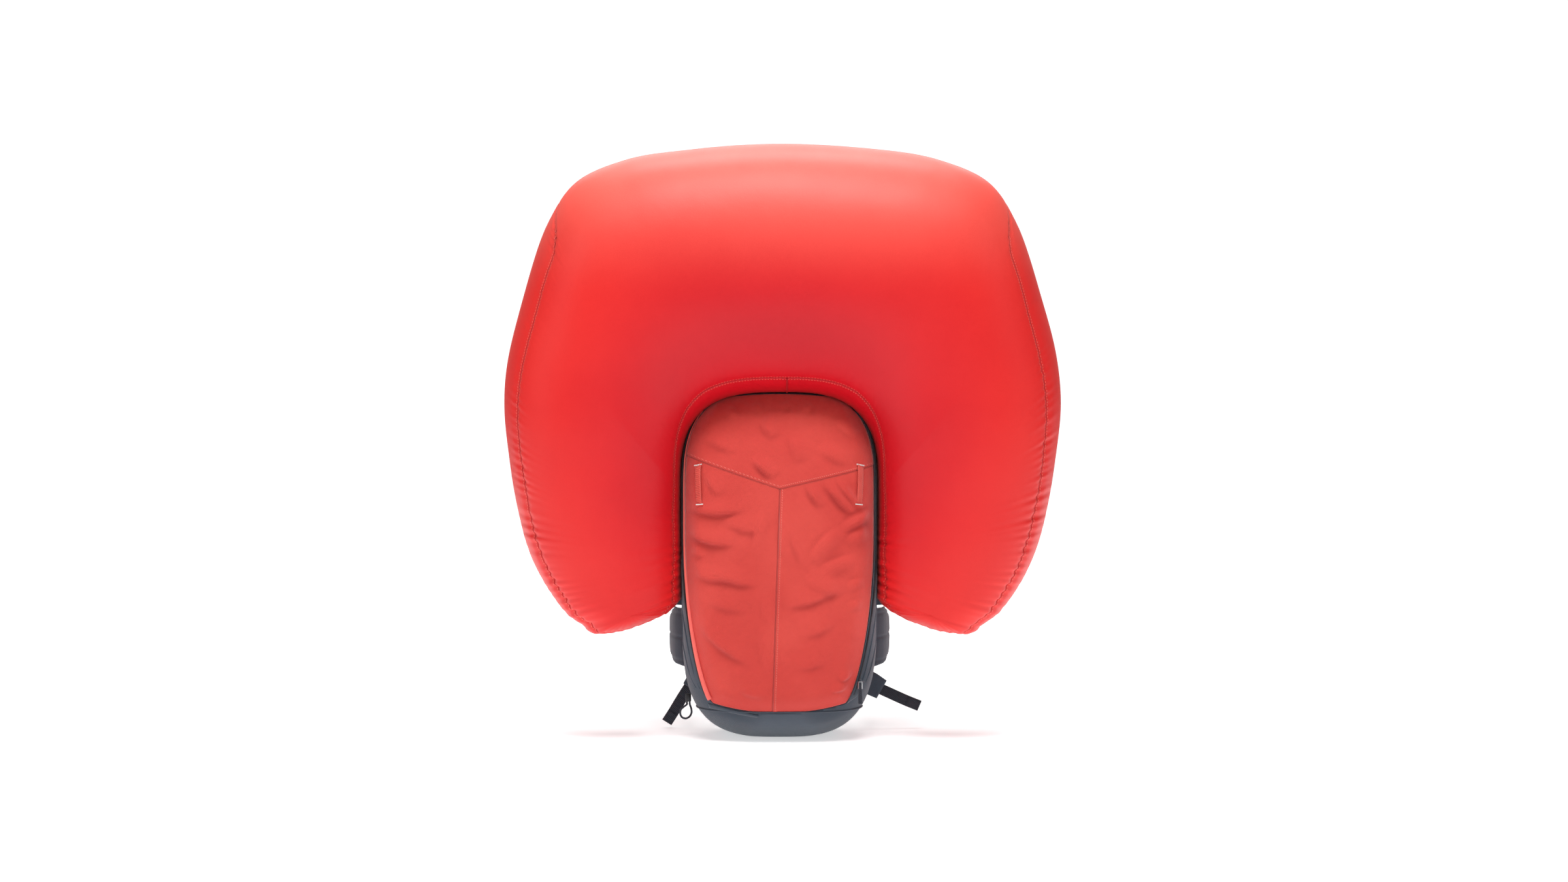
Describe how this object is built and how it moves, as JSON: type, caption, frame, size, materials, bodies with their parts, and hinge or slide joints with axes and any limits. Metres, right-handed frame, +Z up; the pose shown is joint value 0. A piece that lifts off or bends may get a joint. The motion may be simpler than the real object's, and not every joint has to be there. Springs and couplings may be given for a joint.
{
  "type": "avalanche airbag backpack",
  "caption": "Small touring backpack with an inflated U-shaped safety airbag round its top and sides, harness, fan unit and pull trigger.",
  "frame": {"origin": "centre of the lumbar pad face that lies on the wearer's back", "axes": "+Z up along the pack, +Y from the pack towards the wearer, +X to the wearer's right"},
  "size_m": [0.8904, 0.44, 0.953],
  "materials": {
    "bag_nylon": "satin",
    "coral_fabric": "matte",
    "slate_fabric": "matte",
    "back_mesh": "matte",
    "webbing": "matte",
    "black_plastic": "satin",
    "grey_plastic": "satin",
    "red_plastic": "gloss",
    "aluminium": "satin",
    "steel": "satin",
    "board": "satin",
    "cell_sleeve": "gloss",
    "lens": "gloss"
  },
  "bodies": {
    "pack": {"sack_shell": "slate_fabric", "frame_sheet": "black_plastic", "back_stay": "aluminium", "lumbar_pad": "back_mesh", "back_pad_left": "back_mesh", "back_pad_right": "back_mesh", "haul_loop": "webbing", "tool_loop_lock": "black_plastic", "tool_loop": "webbing", "airbag_skin": "bag_nylon", "inlet_flange": "black_plastic", "clamp_band": "steel", "fan_duct": "grey_plastic", "motor": "aluminium", "intake_grille": "black_plastic", "control_box": "grey_plastic", "control_lid": "grey_plastic", "circuit_board": "board", "status_lens": "lens", "capacitor_left": "aluminium", "capacitor_right": "aluminium", "cell_left": "cell_sleeve", "cell_right": "cell_sleeve", "trigger_housing": "black_plastic", "trigger_cable": "black_plastic", "shoulder_strap_left": "slate_fabric", "shoulder_strap_right": "slate_fabric", "load_lifter_left": "webbing", "load_lifter_right": "webbing", "ladder_lock_left": "black_plastic", "ladder_lock_right": "black_plastic", "lower_webbing_left": "webbing", "lower_webbing_right": "webbing", "corner_tab_left": "slate_fabric", "corner_tab_right": "slate_fabric", "strap_tail_left": "webbing", "strap_tail_right": "webbing"},
    "panel": {"front_panel": "coral_fabric", "gear_loop_left": "coral_fabric", "gear_loop_right": "coral_fabric"},
    "zip": {"zip_slider": "steel"},
    "zip_tab": {"zip_pull": "webbing"},
    "rotor": {"impeller": "black_plastic"},
    "flap_left": {"valve_flap_left": "black_plastic"},
    "flap_right": {"valve_flap_right": "black_plastic"},
    "door": {"battery_door": "black_plastic"},
    "knob": {"power_knob": "red_plastic"},
    "trigger": {"trigger_handle": "red_plastic"},
    "chest_left": {"chest_slider_left": "black_plastic", "chest_webbing_left": "webbing", "chest_buckle_socket": "black_plastic"},
    "chest_right": {"chest_slider_right": "black_plastic"},
    "chest_tongue": {"chest_webbing_right": "webbing", "chest_buckle_tongue": "black_plastic"},
    "fin_left": {"hip_fin_left": "slate_fabric", "hip_webbing_left": "webbing", "hip_buckle_socket": "black_plastic"},
    "fin_right": {"hip_fin_right": "slate_fabric", "hip_webbing_right": "webbing", "hip_buckle_tongue": "black_plastic"}
  },
  "joints": [
    {"name": "panel_fold", "type": "hinge", "parent": "pack", "child": "panel", "pos_m": [0, -0.2002, -0.098], "axis": [1, 0, 0], "range_deg": [0, 80]},
    {"name": "zip_run", "type": "slide", "parent": "pack", "child": "zip", "axis": [0.259, 0.108, 0.9598], "range_m": [0, 0.04]},
    {"name": "zip_tab_swing", "type": "hinge", "parent": "zip", "child": "zip_tab", "pos_m": [0.1289, -0.1834, -0.05], "axis": [1, 0, 0], "range_deg": [-100, 0]},
    {"name": "rotor_spin", "type": "hinge", "parent": "pack", "child": "rotor", "pos_m": [0, -0.0736, 0.3572], "axis": [0, 0, 1], "continuous": true},
    {"name": "flap_left_lift", "type": "hinge", "parent": "pack", "child": "flap_left", "pos_m": [-0.0018, -0.0736, 0.3948], "axis": [0, 1, 0], "range_deg": [0, 75]},
    {"name": "flap_right_lift", "type": "hinge", "parent": "pack", "child": "flap_right", "pos_m": [0.0018, -0.0736, 0.3948], "axis": [0, 1, 0], "range_deg": [-75, 0]},
    {"name": "door_swing", "type": "hinge", "parent": "pack", "child": "door", "pos_m": [0, -0.0371, 0.1078], "axis": [1, 0, 0], "range_deg": [0, 90]},
    {"name": "knob_turn", "type": "hinge", "parent": "pack", "child": "knob", "pos_m": [0.034, -0.0725, 0.2228], "axis": [0, -1, 0], "range_deg": [0, 90]},
    {"name": "trigger_pull", "type": "slide", "parent": "pack", "child": "trigger", "axis": [0, 0, -1], "range_m": [0, 0.03], "stiffness_N_per_m": 200, "springref_m": -0.015},
    {"name": "chest_left_run", "type": "slide", "parent": "pack", "child": "chest_left", "axis": [0, 0, 1], "range_m": [-0.025, 0.03]},
    {"name": "chest_right_run", "type": "slide", "parent": "pack", "child": "chest_right", "axis": [0, 0, 1], "range_m": [-0.025, 0.03]},
    {"name": "chest_release", "type": "slide", "parent": "chest_right", "child": "chest_tongue", "axis": [1, 0, 0], "range_m": [0, 0.015]},
    {"name": "fin_left_fold", "type": "hinge", "parent": "pack", "child": "fin_left", "pos_m": [-0.148, -0.0085, 0], "axis": [0, 0, 1], "range_deg": [-10, 45]},
    {"name": "fin_right_fold", "type": "hinge", "parent": "pack", "child": "fin_right", "pos_m": [0.148, -0.0085, 0], "axis": [0, 0, 1], "range_deg": [-45, 10]}
  ],
  "couplings": [
    {"joint": "chest_right_run", "follows": "chest_left_run", "ratio": 1}
  ]
}
